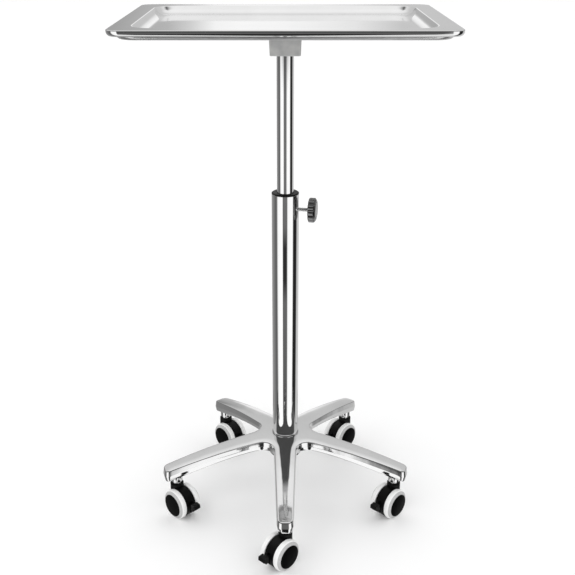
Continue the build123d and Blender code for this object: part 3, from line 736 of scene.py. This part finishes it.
def build_casters():
    face, inner, seat = WHEEL_FACE, WHEEL_IN, RIM_R
    wheel = rounded([(WHEEL_BORE_R, inner), (6.4, inner), (7.0, face - 4), (seat - 3.6, face - 4),
                     (seat - 3, inner + 0.8), (seat, inner + 0.8), (seat, face - 0.1),
                     (seat - 0.4, face + 0.4), (14.5, face + 0.85), (6.0, face + 1.35),
                     (0, face + 1.4)],
                    [0, 0.4, 0.5, 0.5, 0.3, 0.3, 0, 0.25, 8, 8, 0], steps=5)
    wheel.append((0, AXLE_END))
    wheel.append((WHEEL_BORE_R, AXLE_END))
    tyre = rounded([(seat, inner + 0.8), (24.6, inner + 0.8), (25.4, inner + 3.0), (25.4, 15.6),
                    (24.9, 17.2), (23.4, face - 3.0), (seat + 0.5, face - 0.2), (seat, face - 0.6)],
                   [0, 1.0, 1.5, 3.0, 0.6, 0.6, 0.2, 0.2], steps=6, closed=True)
    stem = rounded([(0, 37), (4, 37), (4, 57), (8, 57), (8, 60), (STEM_R, 60), (STEM_R, STEM_TOP_Z),
                    (0, STEM_TOP_Z)],
                   [0, 0.6, 0, 0.6, 0.6, 0, 1.0, 0], steps=3)
    stem_mesh = make_mesh("caster_stem", *revolved(stem, 64))
    for side, word in ((1, "left"), (-1, "right")):
        m = axle_matrix(side)
        wheel_mesh = make_mesh(f"wheel_{word}", *moved(revolved(wheel, 96), m))
        weld(wheel_mesh)
        tyre_mesh = make_mesh(f"tyre_{word}", *moved(revolved(tyre, 128, closed=True), m))
        weld(tyre_mesh)
        for i in range(LEGS):
            tag = f"caster_{i + 1}"
            body = f"{tag}_{word}"
            place(f"{tag}_{word}_hub_disc", wheel_mesh, BLACK_WHEEL, body,
                  (f"{tag}_{word}_wheel",), caster_matrix(i))
            place(f"{tag}_{word}_tread", tyre_mesh, WHITE_TYRE, body,
                  (f"{tag}_{word}_tyre",), caster_matrix(i))
    for i in range(LEGS):
        tag = f"caster_{i + 1}"
        place(f"{tag}_pin", stem_mesh, ZINC, "base", (f"{tag}_stem",),
              caster_matrix(i))


# ----------------------------------------------------- camera, floor, lights
def build_camera():
    cam = bpy.data.cameras.new("camera")
    cam.lens = CAMERA_LENS
    cam.sensor_width = 36.0
    cam.shift_x = CAMERA_SHIFT
    cam.clip_end = 50
    obj = bpy.data.objects.new("camera", cam)
    obj.location = CAMERA_AT
    obj.rotation_euler = (radians(90 - CAMERA_PITCH), 0, 0)
    bpy.context.scene.collection.objects.link(obj)
    bpy.context.scene.camera = obj


def build_floor():
    size = 14.0
    mesh = bpy.data.meshes.new("floor")
    mesh.from_pydata([(-size, -size, 0), (size, -size, 0), (size, size, 0), (-size, size, 0)],
                     [], [(0, 1, 2, 3)])
    floor = bpy.data.objects.new("floor", mesh)
    n = Nodes("pale_floor")
    tone = n.ramp(n.noise(3.0, 2.0, 0.5), ((0.3, grey(0.93)), (0.7, grey(0.96))))
    mesh.materials.append(n.set(Base_Color=tone, Roughness=0.9))
    bpy.context.scene.collection.objects.link(floor)
    floor.visible_glossy = False


# Brightness of the studio round the column, by azimuth in degrees from the
# side that faces the camera, positive to the right.
BANDS = ((-180, 0.55), (-130, 0.30), (-85, 0.12), (-76, 0.14), (-62, 1.1), (-24, 1.15),
         (-19, 0.06), (-8, 0.04), (4, 0.04), (13, 0.12), (21, 1.1), (62, 1.15), (70, 0.02),
         (104, 0.02), (116, 0.60), (180, 0.70))


# The same for the low part of the studio behind the tray, and the brightness
# of the rest of it by height.
BACK_LOW = ((-180, 0.97), (-176, 1.0), (-173.5, 0.50), (-166, 0.30), (-150, 0.12),
            (-110, 0.10), (110, 0.10), (150, 0.20), (160, 0.55), (173, 0.60), (176, 0.85),
            (180, 0.97))
# The column's own dark reflection in front, by height from -1 to 1.
CENTRE = ((0.0, 0.01), (0.16, 0.02), (0.22, 0.12), (0.33, 0.15), (0.36, 0.03), (0.41, 0.03),
          (0.44, 0.16), (0.50, 0.18))
UP_FRONT = 0.075
ABOVE = ((0.0, 0.58), (0.30, 0.60), (0.62, 0.66), (0.80, 0.90), (1.0, 1.0))


def build_world():
    world = bpy.data.worlds.new("studio")
    bpy.context.scene.world = world
    world.use_nodes = True
    tree = world.node_tree
    tree.nodes.clear()
    new = tree.nodes.new

    def link(a, b):
        tree.links.new(a, b)

    def math(kind, a, b=0.0):
        node = new("ShaderNodeMath")
        node.operation = kind
        for i, v in enumerate((a, b)):
            if isinstance(v, (int, float)):
                node.inputs[i].default_value = v
            else:
                link(v, node.inputs[i])
        return node.outputs[0]

    coord = new("ShaderNodeTexCoord").outputs["Generated"]
    split = new("ShaderNodeSeparateXYZ")
    link(coord, split.inputs[0])
    x, y, z = split.outputs
    azimuth = math("ARCTAN2", x, math("MULTIPLY", y, -1.0))
    turn = math("ADD", math("DIVIDE", azimuth, 2 * pi), 0.5)

    def ramp(value, stops):
        node = new("ShaderNodeValToRGB")
        elements = node.color_ramp.elements
        while len(elements) < len(stops):
            elements.new(0.5)
        for e, (pos, tone) in zip(elements, stops):
            e.position = pos
            e.color = (tone, tone, tone, 1)
        link(value, node.inputs[0])
        return node.outputs[0]

    def step(value, low, high):
        node = new("ShaderNodeMapRange")
        node.interpolation_type = "SMOOTHSTEP"
        node.inputs["From Min"].default_value = low
        node.inputs["From Max"].default_value = high
        link(value, node.inputs["Value"])
        return node.outputs[0]

    def mix(factor, a, b):
        node = new("ShaderNodeMix")
        node.data_type = "RGBA"
        link(factor, node.inputs["Factor"])
        link(a, node.inputs["A"])
        link(b, node.inputs["B"])
        return node.outputs["Result"]

    around = ramp(turn, [((deg + 180) / 360, tone) for deg, tone in BANDS])
    low_back = ramp(turn, [((deg + 180) / 360, tone) for deg, tone in BACK_LOW])
    above = ramp(z, ABOVE)
    near_axis = math("ABSOLUTE", math("ADD", azimuth, radians(3)))
    centre = ramp(math("ADD", math("MULTIPLY", z, 0.5), 0.5), CENTRE)
    around = mix(step(near_axis, radians(11), radians(18)), centre, around)
    up_front = new("ShaderNodeRGB")
    up_front.outputs[0].default_value = (UP_FRONT, UP_FRONT, UP_FRONT, 1)
    around = mix(step(z, 0.06, 0.16), around, up_front.outputs[0])
    behind = math("MULTIPLY", step(z, -0.03, 0.05), step(y, -0.05, 0.20))
    back = mix(step(z, 0.16, 0.32), low_back, above)
    mixed = mix(math("MAXIMUM", behind, step(z, 0.80, 0.93)), around, back)

    ray = new("ShaderNodeLightPath")
    studio = new("ShaderNodeBackground")
    link(mixed, studio.inputs["Color"])
    even = new("ShaderNodeBackground")
    even.inputs["Color"].default_value = (1, 1, 1, 1)
    even.inputs["Strength"].default_value = 1.12
    choose = new("ShaderNodeMixShader")
    link(ray.outputs["Is Glossy Ray"], choose.inputs[0])
    link(even.outputs[0], choose.inputs[1])
    link(studio.outputs[0], choose.inputs[2])
    out = new("ShaderNodeOutputWorld")
    link(choose.outputs[0], out.inputs["Surface"])


def build_lights():
    data = bpy.data.lights.new("key", "AREA")
    data.shape = "RECTANGLE"
    data.size, data.size_y = 1.6, 1.2
    data.energy = 6.0
    light = bpy.data.objects.new("key", data)
    light.location = (-1.4, -1.6, 2.2)
    light.rotation_euler = (Vector((0, 0, 0.3)) - light.location).to_track_quat("-Z", "Y").to_euler()
    light.visible_glossy = False
    bpy.context.scene.collection.objects.link(light)


build_camera()
repaint_cad()
build_tray()
build_carrier_ring()
build_column()
build_knob()
build_star_base()
build_casters()
build_floor()
build_world()
build_lights()
bpy.context.scene.view_settings.view_transform = "Standard"
